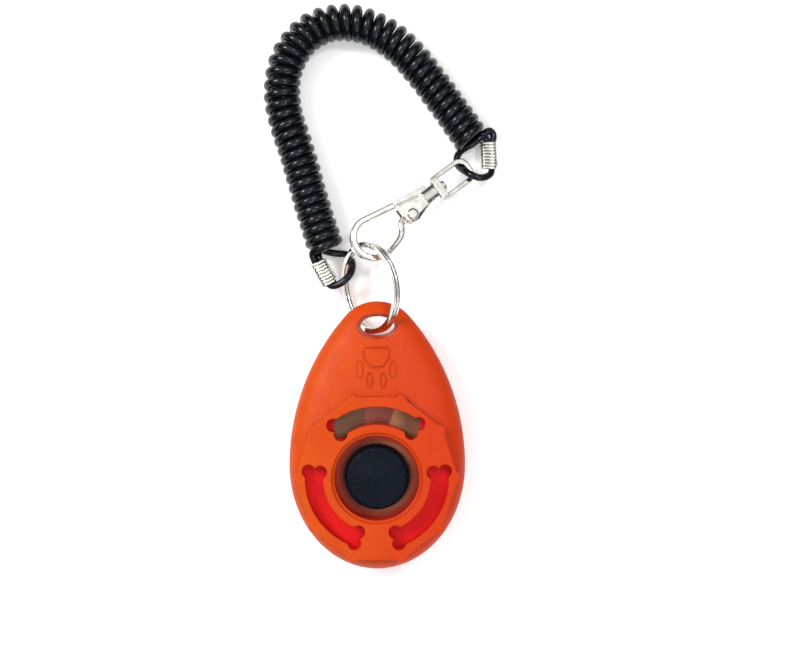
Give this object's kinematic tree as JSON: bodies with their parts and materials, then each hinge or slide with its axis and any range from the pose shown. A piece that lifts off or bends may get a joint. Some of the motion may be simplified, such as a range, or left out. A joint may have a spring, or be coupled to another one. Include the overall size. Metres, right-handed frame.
{
  "type": "dog training clicker",
  "caption": "Hand-held training clicker in a pear-shaped case with a push button, on a split ring with a trigger snap and a coiled wrist cord.",
  "frame": {"origin": "on the flat resting face of the case's back, under the button's axis", "axes": "+Z is the way the button faces, +Y runs from the button to the key-ring hole in the nose, +X completes the right-handed frame"},
  "size_m": [0.0538, 0.1288, 0.0182],
  "materials": {
    "case_orange": "satin moulded ABS",
    "leaf_steel": "rolled spring steel",
    "screw_steel": "zinc plated",
    "button_black": "fine texture",
    "bright_steel": "polished",
    "nickel": "nickel plated",
    "cord_black": "glossy extruded"
  },
  "bodies": {
    "case": {"front_shell": "case_orange", "back_shell": "case_orange", "click_leaf": "leaf_steel", "leaf_screws": "screw_steel", "case_screws": "screw_steel"},
    "button": {"button_cap": "button_black", "button_retainer": "screw_steel"},
    "ring": {"split_ring": "bright_steel"},
    "clasp": {"clasp_hook": "nickel", "gate_rivet": "nickel", "gate_spring": "leaf_steel", "swivel_stud": "nickel"},
    "gate": {"clasp_gate": "nickel"},
    "bail": {"swivel_bail": "nickel"},
    "strap": {"strap_coil": "cord_black", "ring_end_loop": "cord_black", "clasp_end_loop": "cord_black", "ring_end_crimp": "bright_steel", "clasp_end_crimp": "bright_steel"}
  },
  "joints": [
    {"name": "button_press", "type": "slide", "parent": "case", "child": "button", "axis": [0, 0, -1], "range_m": [0, 0.0015], "stiffness_N_per_m": 3000, "deforming": ["click_leaf"]},
    {"name": "ring_swing", "type": "hinge", "parent": "case", "child": "ring", "pos_m": [0, 0.0325, 0.0093], "axis": [1, 0, 0], "range_deg": [0, 20]},
    {"name": "strap_swing", "type": "hinge", "parent": "ring", "child": "strap", "pos_m": [-0.0072, 0.0472, 0.0029], "axis": [0.4738, 0.4448, 0.76], "range_deg": [0, 10]},
    {"name": "clasp_swing", "type": "hinge", "parent": "ring", "child": "clasp", "pos_m": [-0.0072, 0.0472, 0.0029], "axis": [0.4738, 0.4448, 0.76], "range_deg": [0, 10]},
    {"name": "gate_open", "type": "hinge", "parent": "clasp", "child": "gate", "pos_m": [0.00773, 0.05873, 0.00796], "axis": [-0.2195, -0.1372, -0.9659], "range_deg": [0, 22], "stiffness_Nm_per_rad": 0.01, "springref_deg": -5.73, "deforming": ["gate_spring"]},
    {"name": "swivel_turn", "type": "hinge", "parent": "clasp", "child": "bail", "pos_m": [0.01407, 0.06517, 0.0056], "axis": [0.775, 0.5768, -0.258], "range_deg": [-5, 5]}
  ],
  "couplings": [
    {"joint": "clasp_swing", "follows": "strap_swing", "ratio": 1}
  ]
}
